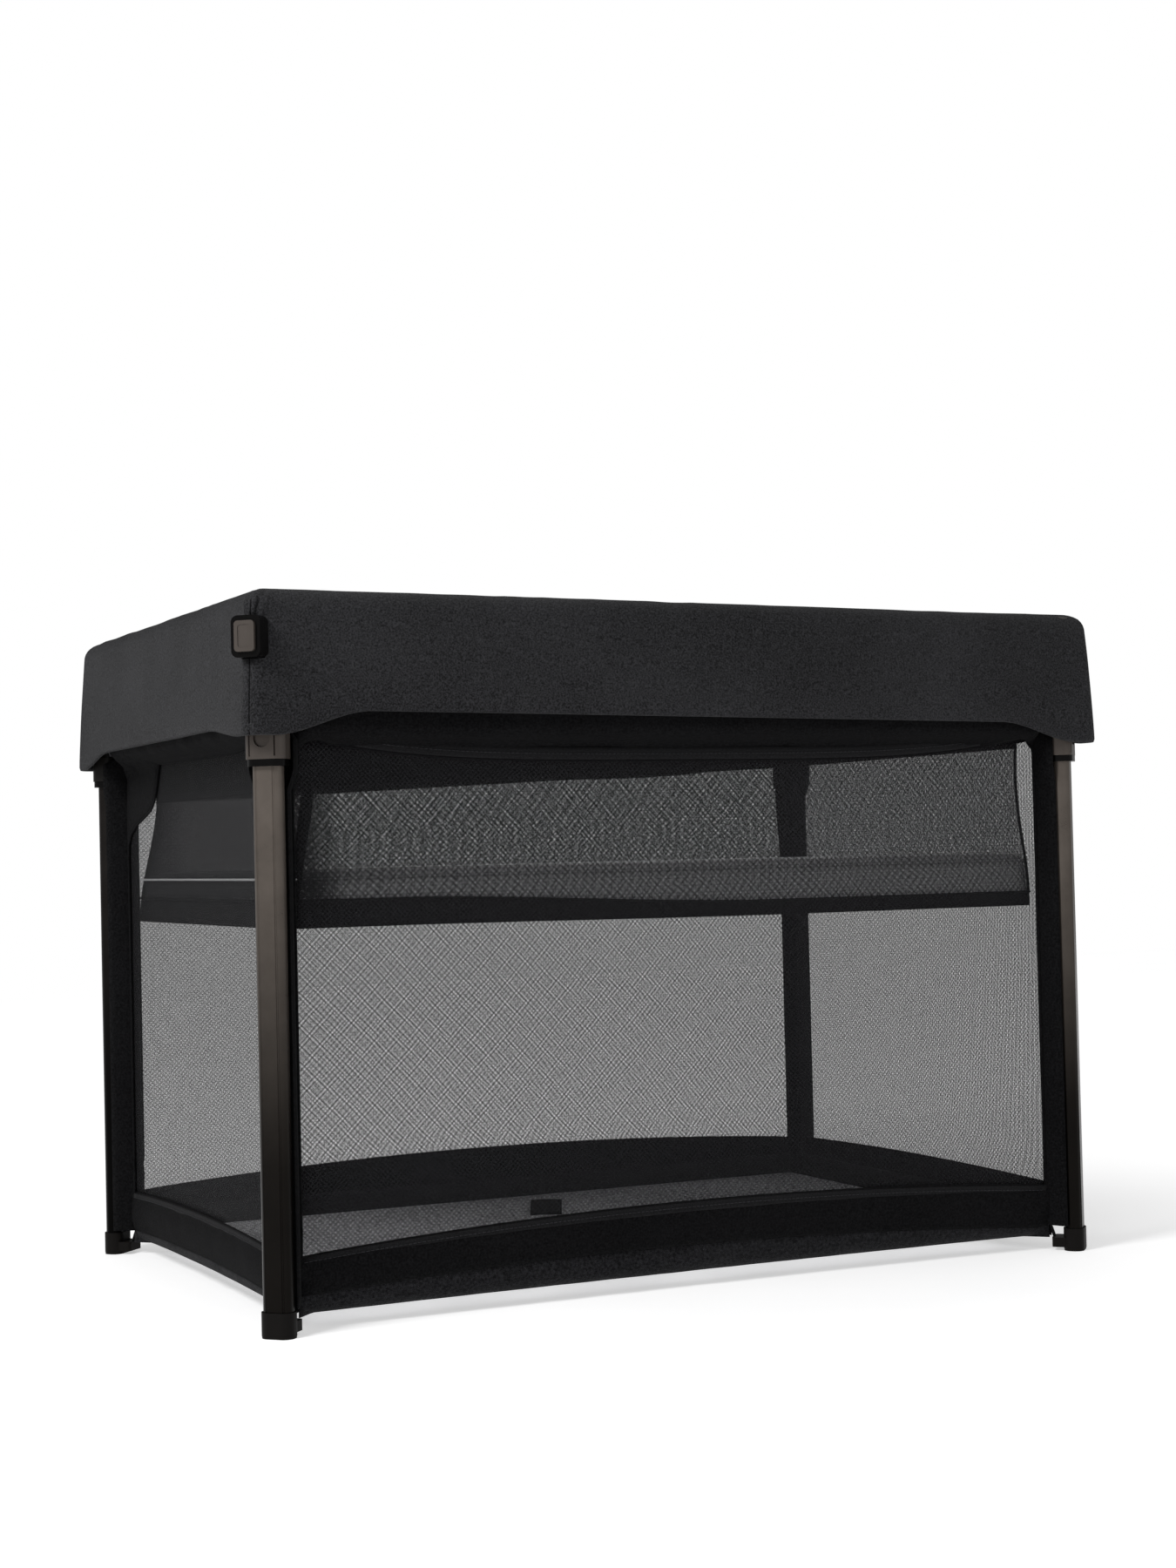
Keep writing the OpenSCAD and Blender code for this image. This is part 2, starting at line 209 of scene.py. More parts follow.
def mesh_cloth(name, pitch, thread, hole, open_share, beat_pitch, beat, warp, dense=0.0):
    """A knitted net of two crossed sets of threads, seen on the outer face of its sheet only.

    thread and hole are how much each covers. The faint coarser lattice is what two nets behind each other
    show; warp bends it, and dense adds cover at the left end, where the cloth is bunched.
    """
    m, g, shader = material(name)
    x, y, up = g.xyz()
    wander = g.math("MULTIPLY", g.math("SUBTRACT", g.noise(26.0, 1.0), 0.5), 0.6 * pitch)
    along = g.math("ADD", g.math("ADD", x, y), wander)
    bend = g.math("MULTIPLY", g.math("SUBTRACT", g.noise(9.0), 0.5), warp * beat_pitch)
    edge = (1 - math.sqrt(open_share)) / 2
    holes, waves = [], []
    for sign in (1, -1):
        across = g.math("ADD", along, g.math("MULTIPLY", up, sign * THREAD_RISE))
        turns = g.math("MULTIPLY", across, 1 / (pitch * THREAD_STRETCH))
        holes.append(g.map_range(g.math("PINGPONG", turns, 0.5), edge - 0.05, edge + 0.05))
        across = g.math("ADD", g.math("ADD", along, g.math("MULTIPLY", up, sign)), bend)
        waves.append(g.math("PINGPONG", g.math("MULTIPLY", across, 1 / beat_pitch), 0.5))
    cover = g.map_range(g.math("MULTIPLY", *holes), 0.0, 1.0, thread, hole)
    lighter = g.math("MULTIPLY", g.math("SUBTRACT", g.math("MULTIPLY", *waves), MEAN_WAVE), -8 * beat)
    cover = g.math("MULTIPLY", cover, g.math("ADD", lighter, 1.0))
    if dense:
        cover = g.math("ADD", cover, g.map_range(x, DENSE_FROM, DENSE_TO, 0.0, dense))
    outside = g.math("SUBTRACT", 1.0, g.add("ShaderNodeNewGeometry").outputs["Backfacing"])
    dim, bright = shades((0.008, 0.008, 0.009), 0.6, 1.5)
    g.feed(shader, {"Alpha": g.math("MULTIPLY", cover, outside, True),
                    "Base Color": g.ramp(g.noise(900), (0.3, dim), (0.7, bright)),
                    "Roughness": 0.8, "Specular IOR Level": 0.2})
    return m


def plastic(name, colour, rough, grain, metallic=0.0, coat=0.0, shine=0.5, shaded_towards_foot=False):
    """Moulded plastic, metal or paint: a fine grain and faint wear. It may carry painted shade, darker
    towards the foot.
    """
    m, g, shader = material(name)
    fine, wear = g.noise(grain, 3.0, 0.6), g.noise(25.0, 4.0, 0.6)
    worn, clean = shades(colour, 0.88, 1.1)
    paint = g.ramp(wear, (0.35, worn), (0.7, clean))
    if shaded_towards_foot:
        # painted shade: the colour darkens below 0.56 m, to nearly black at 0.14 m and under
        height = g.map_range(g.xyz()[2], 0.14, 0.56, 0.05, 1.0, "SMOOTHSTEP")
        inputs = {"Factor": height, "A": (0, 0, 0, 1), "B": paint}
        paint = g.add("ShaderNodeMix", inputs, data_type="RGBA").outputs["Result"]
    gloss = (0.3, (rough * 0.85,) * 3), (0.7, (min(rough * 1.15, 1),) * 3)
    g.feed(shader, {
        "Base Color": paint, "Roughness": g.ramp(g.blend(fine, 0.5, wear, 0.5), *gloss),
        "Metallic": metallic, "Coat Weight": coat, "Coat Roughness": 0.12, "Specular IOR Level": shine,
        "Normal": g.bump(fine, 0.00004, 0.5)})
    return m


MAT = {
    # fabric: dark and light yarn, flecks and threads per metre, slant, roughness, sheen, depth of the weave
    "band": fabric("melange_fabric", (0.003, 0.003, 0.0033), (0.034, 0.034, 0.037),
                   540, 900, 0.0, 0.92, 0.05),
    "black": fabric("black_fabric", (0.002, 0.002, 0.0022), (0.0085, 0.0085, 0.0092),
                    420, 700, 0.4, 0.9, 0.01),
    "tape": fabric("binding_tape", (0.005, 0.005, 0.0055), (0.015, 0.015, 0.016), 700, 500, 0.9, 0.8, 0.03),
    "floor": fabric("floor_fabric", (0.10, 0.10, 0.105), (0.90, 0.90, 0.92), 170, 330, 1.0, 0.8, 0.05),
    "apron": fabric("base_fabric", (0.003, 0.003, 0.0035), (0.02, 0.02, 0.022),
                    330, 260, 1.0, 0.8, 0.03, 0.0006),
    "mattress": fabric("mattress_fabric", (0.80, 0.80, 0.82), (0.95, 0.95, 0.96), 500, 420, 0.0, 0.85, 0.1),
    "strap": fabric("strap_webbing", (0.002, 0.002, 0.0025), (0.007, 0.007, 0.008), 600, 800, 0.5, 0.7, 0.0),
    "thread": fabric("sewing_thread", (0.02, 0.02, 0.022), (0.05, 0.05, 0.054), 900, 1500, 0.8, 0.6, 0.0),
    "mesh": mesh_cloth("wall_net", 0.0012, 0.88, 0.22, 0.46, 0.0055, 0.45, 2.0),
    "net": mesh_cloth("bassinet_net", 0.00105, 0.84, 0.12, 0.53, 0.0078, 0.85, 6.0, 0.62),
    # plastic: colour, roughness, grains per metre, metallic, coat, shine
    # painted shade: both leg paints darken towards the foot
    "leg": plastic("leg_paint", (0.125, 0.107, 0.093), 0.3, 1200, 0.6, shine=0.06, shaded_towards_foot=True),
    # painted shade: the rear legs get a darker copy of the leg colour
    "shaded_rear_leg": plastic("shaded_rear_leg_paint", (0.018, 0.016, 0.015), 0.3, 1200, 0.6, shine=0.06, shaded_towards_foot=True),
    "bracket": plastic("bracket_plastic", (0.072, 0.060, 0.052), 0.34, 900, 0.5),
    # painted shade: the rear sliders get a darker copy of the bracket colour
    "shaded_rear_bracket": plastic("shaded_rear_bracket_plastic", (0.006, 0.0055, 0.005), 0.34, 900, shine=0.15),
    "foot": plastic("foot_plastic", (0.006, 0.0052, 0.0048), 0.5, 900, shine=0.06),
    "button": plastic("button_plastic", (0.075, 0.063, 0.055), 0.2, 900, 0.4, 0.5, 0.4),
    "housing": plastic("housing_plastic", (0.03, 0.027, 0.024), 0.5, 700),
    "black_plastic": plastic("black_plastic", (0.002, 0.0018, 0.0018), 0.2, 800, shine=0.14),
    "bar": plastic("bar_metal", (0.30, 0.30, 0.31), 0.42, 900, 0.9),
}


# ---------------- mesh helpers
def linked(name, data):
    o = bpy.data.objects.new(name, data)
    bpy.context.scene.collection.objects.link(o)
    return o


def new_object(name, verts, faces, mat):
    mesh = bpy.data.meshes.new(name)
    mesh.from_pydata([tuple(v) for v in verts], [], [tuple(f) for f in faces])
    mesh.validate()
    bm = bmesh.new()
    bm.from_mesh(mesh)
    bmesh.ops.recalc_face_normals(bm, faces=bm.faces)
    bm.to_mesh(mesh)
    bm.free()
    mesh.materials.append(mat)
    mesh.polygons.foreach_set("use_smooth", [True] * len(mesh.polygons))
    return linked(name, mesh)


def closed_sheet(name, grid, thick, mat, wrap=False, inner=None):
    """A closed sheet from a grid of points on its outer face. Its thickness goes against cross(du, dv)."""
    p = np.array(grid, float)
    nu, nv = p.shape[:2]
    if inner is None:
        du = (np.roll(p, -1, 0) - np.roll(p, 1, 0)) if wrap else np.gradient(p, axis=0)
        n = np.cross(du, np.gradient(p, axis=1))
        n /= np.maximum(np.linalg.norm(n, axis=2, keepdims=True), 1e-12)
        inner = p - n * thick
    verts = np.concatenate([p.reshape(-1, 3), np.array(inner, float).reshape(-1, 3)])
    half = nu * nv
    faces = []
    rows = nu if wrap else nu - 1
    for i in range(rows):
        j = (i + 1) % nu
        for k in range(nv - 1):
            a, b, c, d = i * nv + k, j * nv + k, j * nv + k + 1, i * nv + k + 1
            faces.append((a, b, c, d))
            faces.append((half + d, half + c, half + b, half + a))
        a, b = i * nv, j * nv
        faces.append((a, half + a, half + b, b))
        a, b = i * nv + nv - 1, j * nv + nv - 1
        faces.append((b, half + b, half + a, a))
    if not wrap:
        for k in range(nv - 1):
            a, b = k, k + 1
            faces.append((b, half + b, half + a, a))
            a, b = (nu - 1) * nv + k, (nu - 1) * nv + k + 1
            faces.append((a, half + a, half + b, b))
    return new_object(name, verts, faces, mat)


def tube_mesh(points, radius, closed=False, sides=8):
    """Vertices and faces of a round cord along points."""
    p = np.array(points, float)
    n = len(p)
    tangent = (np.roll(p, -1, 0) - np.roll(p, 1, 0)) if closed else np.gradient(p, axis=0)
    tangent /= np.maximum(np.linalg.norm(tangent, axis=1, keepdims=True), 1e-12)
    up = np.array([0.0, 0.0, 1.0])
    verts, faces = [], []
    for i in range(n):
        side = np.cross(tangent[i], up)
        if np.linalg.norm(side) < 1e-3:
            side = np.cross(tangent[i], [0.37, 0.93, 0])
        side /= np.linalg.norm(side)
        other = np.cross(side, tangent[i])
        for k in range(sides):
            a = 2 * math.pi * k / sides
            verts.append(p[i] + radius * (math.cos(a) * side + math.sin(a) * other))
    for i in range(n if closed else n - 1):
        j = (i + 1) % n
        for k in range(sides):
            m = (k + 1) % sides
            faces.append((i * sides + k, j * sides + k, j * sides + m, i * sides + m))
    if not closed:
        faces.append(tuple(range(sides)))
        faces.append(tuple(range(n * sides - 1, (n - 1) * sides - 1, -1)))
    return verts, faces


def merged(parts):
    verts, faces = [], []
    for v, f in parts:
        base = len(verts)
        verts += list(v)
        faces += [tuple(i + base for i in face) for face in f]
    return verts, faces


def stitch_parts(points, length=0.0036, gap=0.0016, radius=0.00042):
    """A row of stitches as short cords along a line."""
    p = np.array(points, float)
    along = np.concatenate([[0], np.cumsum(np.linalg.norm(np.diff(p, axis=0), axis=1))])
    parts = []
    s = gap
    while s + length < along[-1]:
        at = [s, s + length / 2, s + length]
        q = np.stack([np.interp(at, along, p[:, k]) for k in range(3)], axis=1)
        parts.append(tube_mesh(q, radius, sides=5))
        s += length + gap
    return parts


def rounded_loop(hx, hy, r, long_n, short_n, arc_n):
    """Points round a rounded rectangle, counter-clockwise from the start of the front."""
    loop = []
    edges = [((-hx + r, -hy), (hx - r, -hy)), ((hx, -hy + r), (hx, hy - r)),
             ((hx - r, hy), (-hx + r, hy)), ((-hx, hy - r), (-hx, -hy + r))]
    centres = [(hx - r, -hy + r), (hx - r, hy - r), (-hx + r, hy - r), (-hx + r, -hy + r)]
    for i, ((x0, y0), (x1, y1)) in enumerate(edges):
        n = short_n if i % 2 else long_n
        loop += [(x0 + k / n * (x1 - x0), y0 + k / n * (y1 - y0)) for k in range(n)]
        cx, cy = centres[i]
        angles = [math.radians(90 * i - 90 + 90 * k / arc_n) for k in range(arc_n)]
        loop += [(cx + r * math.cos(a), cy + r * math.sin(a)) for a in angles]
    return loop


def fold_with(o, side):
    """The piece rides its side's own leg."""
    body, u, _ = SIDES[side]
    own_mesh(o)
    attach(o, body)


def fold_with_floor(o, body):
    """The piece rides its floor panel."""
    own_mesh(o)
    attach(o, body)


# ---------------- the band round the top
BAND_R = 18 * MM        # round of the corners
BAND_T = 3 * MM
BAND_IN = 58 * MM       # how deep the band is, from its outer to its inner face
MITRE = 44.7            # degrees round a corner, a little short so that two covers don't touch
FLARE = 8 * MM          # how far it leans in from hem to top
TOP_R, INNER_R = 22 * MM, 10 * MM
BEZEL_W = 32 * MM
DROOP = 6 * MM

# How much lower than the CAD band the cloth hangs at each corner, and how much it is drawn up between them
HANG = {"fl": 2 * MM, "fr": 11 * MM, "rr": 10 * MM, "rl": 11 * MM}
DRAWN_UP = {"front": (24 * MM, 11 * MM), "rear": (12 * MM, 12 * MM),
            "left": (5 * MM, 9 * MM), "right": (8 * MM, 8 * MM)}
NEXT_CORNER = {"front": "fr", "right": "rr", "rear": "rl", "left": "fl"}


def hem_z(side, s):
    """The band's lower edge: lowest at the corners, where it covers the sliders."""
    hl = HALF[side]
    t = (s + hl) / (2 * hl)
    start, end = DRAWN_UP[side]
    middle = start + (end - start) * t
    corner = HANG[SIDES[side][0][-2:]] if s < 0 else HANG[NEXT_CORNER[side]]
    up = smooth(0.03, 0.135, hl - abs(s))
    return band_z + middle * up - corner * (1 - up)


def droop(side, s):
    """The padded top sinks a little towards the near right corner."""
    t = (s + HALF[side]) / (2 * HALF[side])
    if side == "front":
        return DROOP * smooth(0.0, 1.0, t)
    return DROOP * (1 - smooth(0.0, 1.0, t)) if side == "right" else 0.0


def band_profile(z_low, window_z):
    """The cover's section from the outer hem over the top to the inner hem, as (o, z)."""
    z_hem, z_top, gap = z_low + 5 * MM, top_z - TOP_R, 0.3 * MM
    pts = [(7.0 * MM, z_hem), (3.5 * MM, z_low + 1.0 * MM), (1.2 * MM, z_low + 1.5 * MM)]
    beside_window = [z + d for z in window_z for d in (-gap, gap)]
    for z in sorted([*np.linspace(z_hem, z_top, 16), *beside_window]):
        pts.append((FLARE * ((z - z_hem) / (z_top - z_hem)) ** 1.3, z))
    for k in range(1, 9):
        a = math.radians(180 - 90 * k / 8)
        pts.append((FLARE + TOP_R + TOP_R * math.cos(a), z_top + TOP_R * math.sin(a)))
    for k in range(1, 5):
        pts.append((FLARE + TOP_R + (BAND_IN - INNER_R - FLARE - TOP_R) * k / 4, top_z))
    for k in range(1, 6):
        a = math.radians(90 - 90 * k / 5)
        pts.append((BAND_IN - INNER_R + INNER_R * math.cos(a), top_z - INNER_R + INNER_R * math.sin(a)))
    for k in range(1, 9):
        pts.append((BAND_IN, top_z - INNER_R + (band_z + 2 * MM - top_z + INNER_R) * k / 8))
    return np.array(pts)


def offset_profile(pts, thick):
    d = np.gradient(pts, axis=0)
    d /= np.linalg.norm(d, axis=1, keepdims=True)
    return pts + np.stack([d[:, 1], -d[:, 0]], axis=1) * thick


def bell(x, width):
    return math.exp(-((x / width) ** 2))


def band_point(side, end, kind, t, o, z, window):
    """One point of a cover: round its two corners to the mitre, soft in between, open at the button."""
    hl, hd = HALF[side], DEPTH[side]
    r = max(BAND_R, o + 3 * MM)
    if kind == "arc":
        a = math.radians(MITRE * t)
        s = end * (hl - r + (r - o) * math.sin(a))
        oo = hd - (hd - r + (r - o) * math.cos(a))
        seam = (r - o) * math.radians(45) * (1 - t)
    else:
        s, oo = t * (hl - r), o
        seam = (hl - r) * (1 - abs(t)) + (r - o) * math.radians(45)
    outer = 1 - smooth(BAND_IN - 20 * MM, BAND_IN - 12 * MM, o)
    oo += 1.7 * MM * outer * bell(seam, 1.5 * MM)
    if window and (end or t) * window["end"] > 0 and outer > 0:
        high = window["z"][1]
        above = smooth(high, high + 8 * MM, z) * (1 - smooth(top_z - 8 * MM, top_z + 2 * MM, z))
        slant = seam - 5 * MM - 5 * MM * smooth(high, top_z, z)
        pinch = 3.6 * bell(slant, 1.5 * MM) - 2.2 * bell(slant - 5.5 * MM, 3 * MM)
        oo += pinch * MM * above
    x, y, zz = place(side, s, oo, z)
    soft = smooth(0.0, 0.03, hl - abs(s))
    w = ripple((x, y, zz), 0.11, 3.1) + 0.45 * ripple((x, y, zz), 0.045, 8.7)
    push = (1.5 * outer + 0.8 * (1 - outer)) * MM * w * soft
    sink = abs(push) * smooth(top_z - 20 * MM, top_z, z)
    n = SIDES[side][2]
    zz -= droop(side, s) * smooth(band_z + 40 * MM, top_z - 25 * MM, z)
    if window and window["z"][0] < z < window["z"][1] and outer > 0.9 and window["end"] * s > window["s"]:
        s2 = window["s"] + 0.03 * (window["end"] * s - window["s"])
        x, y, zz = place(side, window["end"] * s2, o, z)
    return (x + n.x * (push - sink), y + n.y * (push - sink), zz - sink)


def band_piece(side):
    """One side's cover, and the lines of its corner seam below and above the button."""
    hl = HALF[side]
    arc, straight = 10, 90
    stops = [(-1, "arc", 1 - k / arc) for k in range(arc)]
    near = [1 - 2 * MM * k / hl for k in range(1, 12, 2)]
    line = sorted(set(list(np.linspace(-1, 1, straight)) + near + [-v for v in near]))
    stops += [(0, "line", t) for t in line]
    stops += [(1, "arc", (k + 1) / arc) for k in range(arc)]
    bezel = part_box("bezel_fl")
    width = BEZEL_W / 2 + 0.4 * MM
    past_arc = (width - BAND_R * math.sin(math.radians(45))) / math.cos(math.radians(45))
    low, high = bezel[0].z - 0.4 * MM, bezel[1].z + 0.4 * MM
    window = {"end": -1 if side in ("front", "rear") else 1, "z": (low, high), "s": hl - BAND_R - past_arc}
    outer, inner = [], []
    for end, kind, t in stops:
        s0 = end * (hl - BAND_R) if end else t * (hl - BAND_R)
        profile = band_profile(hem_z(side, s0), window["z"])
        for rows, section in ((outer, profile), (inner, offset_profile(profile, BAND_T))):
            rows.append([band_point(side, end, kind, t, o, z, window) for o, z in section])
    corner_low = [Vector(p) for p in outer[0][2:23] if p[2] < low]
    corner_high = [Vector(p) for p in outer[0][2:25] if p[2] > high]
    cover = closed_sheet(f"band_{side}_cover", outer, BAND_T, MAT["band"], inner=inner)
    return cover, (corner_low, corner_high)


def make_bands():
    for side in SIDES:
        o, seams = band_piece(side)
        # a dark cord lies in the corner seam, above and below the button
        cords = merged([tube_mesh(line, 0.9 * MM) for line in seams])
        thread = new_object(f"band_{side}_seam", *cords, MAT["black"])
        for piece in (o, thread):
            fold_with(piece, side)
        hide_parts(f"band_{side}")


# ---------------- walls
WALL_TOP = band_z + 30 * MM
WALL_END = 58 * MM      # from the band's outer face to a wall's end
STRIP = 5 * MM          # width of the post beside each leg
LINING_OUT = 27 * MM
LINING_Z = (band_z - 10 * MM, band_z + 6 * MM)
N_EDGE, N_ARC, N_SIDE = 48, 8, 24       # points along each edge, corner and end of a wall's outlines
# The net's upper rear corner on the left side hangs loose: distance from the end and from the top, in mm
LOOSE_CORNER = [(140, 0), (133, -16), (125, -32), (116, -48), (100, -60),
                (72, -69), (38, -78), (12, -90), (0, -106)]


def wall_half(side):
    return HALF[side] - WALL_END


def window(side):
    """The net window's outline as s, z of a rounded opening whose long edges sag."""
    h = wall_half(side) - STRIP
    long = side in ("front", "rear")
    r = 24 * MM
    quarter = [math.radians(90 + 90 * k / N_ARC) for k in range(N_ARC + 1)]
    corner = [(r + r * math.cos(a), r * math.sin(a) - r) for a in quarter]
    if side == "left":
        corner = [(x * MM, y * MM) for x, y in LOOSE_CORNER]
    z_top_end, sag = band_z + 2 * MM, (28 if long else 12) * MM
    z_low_end, rise = wall_z0 + 43 * MM, (19 if long else 6) * MM
    sunk = lambda s: sag * (1 - (s / h) ** 4)
    lows = lambda s: z_low_end + rise * (1 - (s / h) ** 2)
    pts = []
    for k in range(N_EDGE):
        s = -h + 2 * h * k / N_EDGE
        pts.append((s, lows(s)))
    for k in range(N_SIDE):
        pts.append((h, lows(h) + (z_top_end - r - lows(h)) * k / N_SIDE))
    for k in range(N_ARC):
        a = math.radians(90 * k / N_ARC)
        pts.append((h - r + r * math.cos(a), z_top_end - r + r * math.sin(a) - sunk(h - r) * math.sin(a)))
    for k in range(N_EDGE):
        s = (h - r) - (2 * h - r - corner[0][0]) * k / N_EDGE
        pts.append((s, z_top_end - sunk(s)))
    low_end = z_top_end + corner[-1][1]
    for x, y in corner[:N_ARC]:
        pts.append((-h + x, z_top_end + y - sunk(h - corner[0][0]) * (1 + y / (z_top_end - low_end))))
    for k in range(N_SIDE):
        pts.append((-h, low_end + (lows(-h) - low_end) * k / N_SIDE))
    return pts


def outline(side):
    """The wall's outer edge, walked in step with the window's points."""
    h = wall_half(side)
    low, high = wall_z0 - 2 * MM, WALL_TOP
    rise, tilt = (17, 5) if side == "front" else (3, 0)
    half_arc, step = N_ARC / 2, 10 * MM
    s0 = h - half_arc * step
    climb = lambda k: (high - low) * k / (N_SIDE + half_arc)
    pts = []
    for k in range(N_EDGE):
        s = -h + 2 * h * k / N_EDGE
        pts.append((s, low + (rise * (1 - (s / h) ** 2) - tilt * s / h) * MM))
    pts += [(h, low + climb(k)) for k in range(N_SIDE)]
    for k in range(N_ARC):
        pts.append((h, low + climb(N_SIDE + k)) if k < half_arc else (h - (k - half_arc) * step, high))
    pts += [(s0 - 2 * s0 * k / N_EDGE, high) for k in range(N_EDGE)]
    for k in range(N_ARC):
        pts.append((-s0 - k * step, high) if k < half_arc else (-h, high - climb(k - half_arc)))
    pts += [(-h, high - climb(half_arc + k)) for k in range(N_SIDE)]
    return pts


def wall_sag(side, s, z):
    """How far the wall draws in: the net curves in between its edges, and the lower band is pulled in."""
    h = wall_half(side)
    along = max(1 - (s / h) ** 2, 0)
    up = min(max((z - wall_z0) / (WALL_TOP - wall_z0), 0), 1)
    net = 4.0 * MM * along * math.sin(math.pi * up)
    low = 7.0 * MM * along * (1 - smooth(wall_z0, wall_z0 + 0.10, z))
    lining = LINING_OUT * smooth(LINING_Z[0], LINING_Z[1], z) * smooth(h - 2 * MM, h - 13 * MM, abs(s))
    return net + low - lining


def wall_border(side, win, rim):
    """The solid cloth round the net: low strip, posts beside the legs, wrinkled lining under the band."""
    seed = 1.7 + 3.0 * list(SIDES).index(side)
    grid = []
    for (s1, z1), (s0, z0) in zip(win, rim):
        row = []
        for k in range(13):
            t = k / 12
            s, z = s0 + (s1 - s0) * t, z0 + (z1 - z0) * t
            low = 1 - smooth(wall_z0 + 30 * MM, wall_z0 + 60 * MM, z)
            high = smooth(band_z - 30 * MM, band_z, z)
            x, y, _ = place(side, s, 0, z)
            wrinkle = ripple((x, y, z * 0.6), 0.034, seed) + 0.5 * ripple((x, y, z), 0.013, seed)
            o = wall_o + wall_sag(side, s, z)
            o += (0.9 * low + 3.6 * high) * MM * wrinkle * math.sin(math.pi * t)
            o -= 3.0 * MM * low * math.sin(math.pi * t)
            row.append(place(side, s, o, z))
        grid.append(row[::-1])
    return closed_sheet(f"wall_{side}_border", grid, 1.4 * MM, MAT["black"], wrap=True)


def wall_net(side):
    """The net panel behind the border."""
    h = wall_half(side) - 4 * MM
    heights = np.linspace(wall_z0 + 20 * MM, band_z + 2 * MM, 33)
    grid = [[place(side, s, wall_o + 1.8 * MM + wall_sag(side, s, min(z, LINING_Z[0])), z) for z in heights]
            for s in np.linspace(-h, h, 61)]
    net = closed_sheet(f"wall_{side}_net", grid, 0.5 * MM, MAT["mesh"])
    return net


def wall_tape(side, which, line, width):
    """A flat tape sewn along the window, standing a little proud, with stitches down its middle."""
    def at(s, z, proud):
        return place(side, s, wall_o - proud + wall_sag(side, s, min(z, LINING_Z[0])), z)

    proud = [(1.7 + 0.8 * math.sin(math.pi * k / 4)) * MM for k in range(5)]
    grid = [[at(s, z + width * k / 4, proud[k]) for k in range(5)] for s, z in line]
    seam = [at(s, z + width * 0.5, 2.7 * MM) for s, z in line]
    if width < 0:
        grid = grid[::-1]
    tape = closed_sheet(f"wall_{side}_tape_{which}", grid, 0.9 * MM, MAT["tape"])
    thread = new_object(f"wall_{side}_stitches_{which}", *merged(stitch_parts(seam)), MAT["thread"])
    return [tape, thread]


# The apron's section in mm: inwards from the wall, and above the ground
APRON = [(2.2, 54), (0.6, 44), (-0.6, 36), (0.2, 29), (2.6, 23), (6.0, 19), (12.0, 16), (22.0, 14.6),
         (34.0, 14.4)]


def base_apron(side):
    """The ribbed cloth that closes the gap under the low strip and wraps beneath the floor."""
    h = wall_half(side)
    seed = 21.0 + 5.0 * list(SIDES).index(side)
    grid = []
    for s in np.linspace(-h + 1 * MM, h - 1 * MM, 140):
        row = []
        for k, (o, z) in enumerate(APRON):
            o, z = o * MM, z * MM
            x, y, _ = place(side, s, 0, 0)
            wrinkle = ripple((x, y, z * 0.35), 0.05, seed) + 0.6 * ripple((x, y, z * 0.5), 0.021, seed)
            share = math.sin(math.pi * min(k, 6) / 6.5)
            sag = wall_sag(side, s, 40 * MM)
            end = 1 - smooth(h - 45 * MM, h, abs(s))
            mitre = max(0.0, o - (h - abs(s)) + 2 * MM)
            o = wall_o + sag * end + o + 2.4 * MM * wrinkle * share - mitre
            row.append(place(side, s, o, z - 1.6 * MM * wrinkle * share))
        grid.append(row[::-1])
    apron = closed_sheet(f"base_{side}_apron", grid, 1.0 * MM, MAT["apron"])
    return apron


def make_walls():
    for side, (body, _, _) in SIDES.items():
        win = window(side)
        border = wall_border(side, win, outline(side))
        loop = [place(side, s, wall_o - 0.6 * MM + wall_sag(side, s, z), z) for s, z in win]
        cord = new_object(f"wall_{side}_piping", *tube_mesh(loop, 1.5 * MM, closed=True), MAT["black"])
        # the window's low and top edges, which the tapes follow
        low_edge, top_edge = win[:N_EDGE + 1], win[N_EDGE + N_ARC + N_SIDE:][:N_EDGE + 1]
        trim = wall_tape(side, "low", low_edge, -11 * MM) + wall_tape(side, "top", top_edge[::-1], 14 * MM)
        for piece in (border, wall_net(side), cord, base_apron(side), *trim):
            fold_with(piece, side)
        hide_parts(f"wall_{side}")


# ---------------- corner strips behind the legs
BEFORE = {"front": "left", "right": "front", "rear": "right", "left": "rear"}
# Half the pocket's section behind a leg and round a slider, in mm: inwards from the leg's middle, and across
POCKET = [(5, 17.8), (12, 17.0), (19, 14.4), (25, 11.6), (30, 9.0), (33, 5), (34, 0)]
ROUND_SLIDER = [(6, 24.5), (12, 24.5), (18, 23.0), (23, 19.5), (28, 14.5), (32, 8), (34, 0)]


